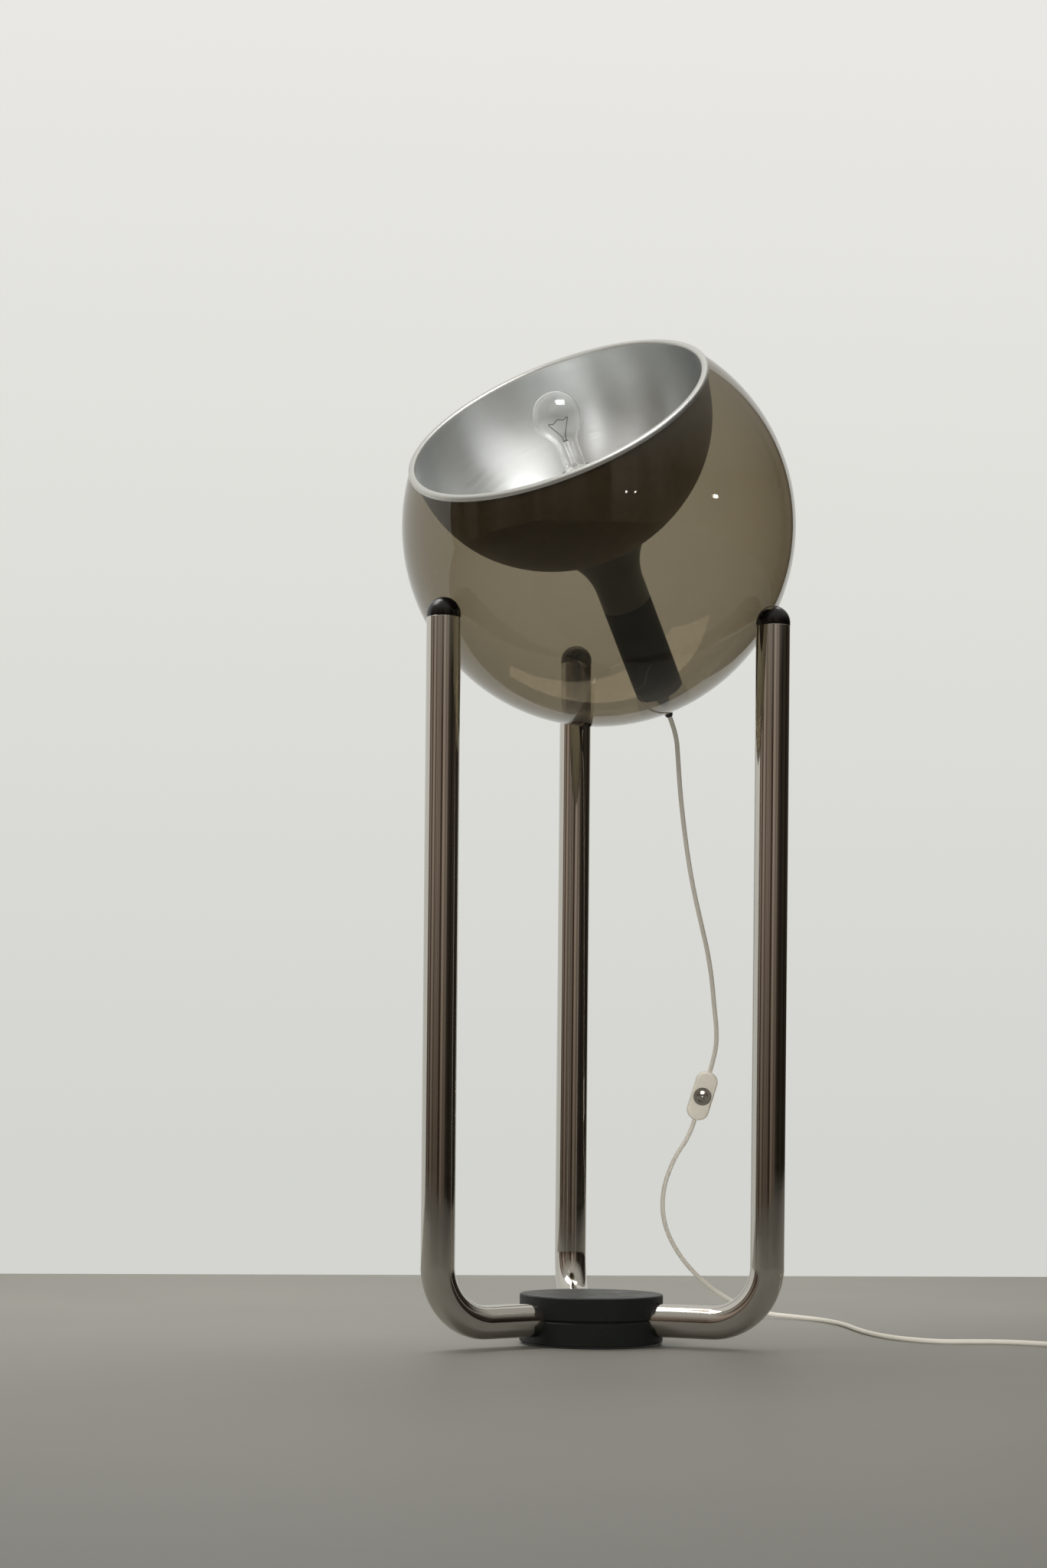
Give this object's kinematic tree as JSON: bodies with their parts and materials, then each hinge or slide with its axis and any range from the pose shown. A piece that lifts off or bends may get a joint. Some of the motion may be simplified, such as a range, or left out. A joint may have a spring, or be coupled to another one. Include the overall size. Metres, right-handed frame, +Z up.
{
  "type": "globe floor lamp",
  "caption": "Floor lamp: a smoked globe with a spun reflector rests loosely on the capped tops of bent chrome tubes rising from a round drum base; corded, with an in-line push switch.",
  "frame": {"origin": "middle of the base's underside, on the floor", "axes": "+Z up along the stand's axis; the rear leg stands on +Y, and the front legs are at 210 and 330 degrees from +X"},
  "size_m": [0.875, 0.5868, 1.1553],
  "materials": {
    "felt": "pressed felt",
    "black_cast_iron": "matte black lacquer on cast iron",
    "steel": "plain steel",
    "chrome": "polished chrome plate",
    "black_gloss": "glossy black moulding",
    "smoked_acrylic": "clear smoked acrylic",
    "aluminium": "spun aluminium, satin inside and dark enamel outside",
    "rim_aluminium": "bright turned aluminium",
    "dark_enamel": "dark brown enamel on spun metal",
    "black_sleeve": "matte black tube",
    "bakelite": "dark moulded bakelite",
    "porcelain": "glazed porcelain insert",
    "brass": "plain brass",
    "clear_glass": "clear blown glass",
    "tungsten": "drawn wire",
    "rubber": "black rubber",
    "cream_pvc": "cream flexible plastic",
    "ivory_plastic": "ivory moulded plastic"
  },
  "bodies": {
    "stand": {"base_pad": "felt", "base_lower_half": "black_cast_iron", "base_upper_half": "black_cast_iron", "leg_hub": "steel", "leg_screws": "steel", "clamp_bolt": "steel", "clamp_washer": "steel", "leg_front_left": "chrome", "leg_front_right": "chrome", "leg_rear": "chrome", "leg_cap_front_left": "black_gloss", "leg_cap_front_right": "black_gloss", "leg_cap_rear": "black_gloss", "cord_upper": "cream_pvc", "switch_front_shell": "ivory_plastic", "switch_back_shell": "ivory_plastic", "switch_screws": "steel", "switch_contact_block": "bakelite", "switch_bezel": "chrome", "cord_lower": "cream_pvc", "cord_coil": "cream_pvc", "coil_tie": "cream_pvc", "plug_body": "ivory_plastic", "plug_pins": "brass"},
    "globe": {"globe_shell": "smoked_acrylic", "rim_ring": "rim_aluminium", "reflector_bowl": "aluminium", "neck_flare": "dark_enamel", "neck_nut": "steel", "socket_sleeve": "black_sleeve", "threaded_stem": "steel", "holder_pillar": "aluminium", "holder_cap": "bakelite", "holder_skirt": "bakelite", "holder_insert": "porcelain", "holder_screw_shell": "brass", "holder_contact": "brass", "bulb_cap": "brass", "bulb_glass": "clear_glass", "bulb_mount": "clear_glass", "bulb_filament": "tungsten", "tail_gasket": "rubber", "tail_nut": "brass", "cord_bushing": "black_gloss", "inner_cord": "cream_pvc"},
    "button": {"switch_button": "chrome"}
  },
  "joints": [
    {"name": "globe_tilt", "type": "hinge", "parent": "stand", "child": "globe", "pos_m": [0, 0, 0.93191], "axis": [0.776, -0.6307, 0], "range_deg": [-40, 25]},
    {"name": "button_press", "type": "slide", "parent": "stand", "child": "button", "axis": [0.1312, 0.9847, 0.115], "range_m": [0, 0.002], "stiffness_N_per_m": 600, "springref_m": -0.001}
  ]
}
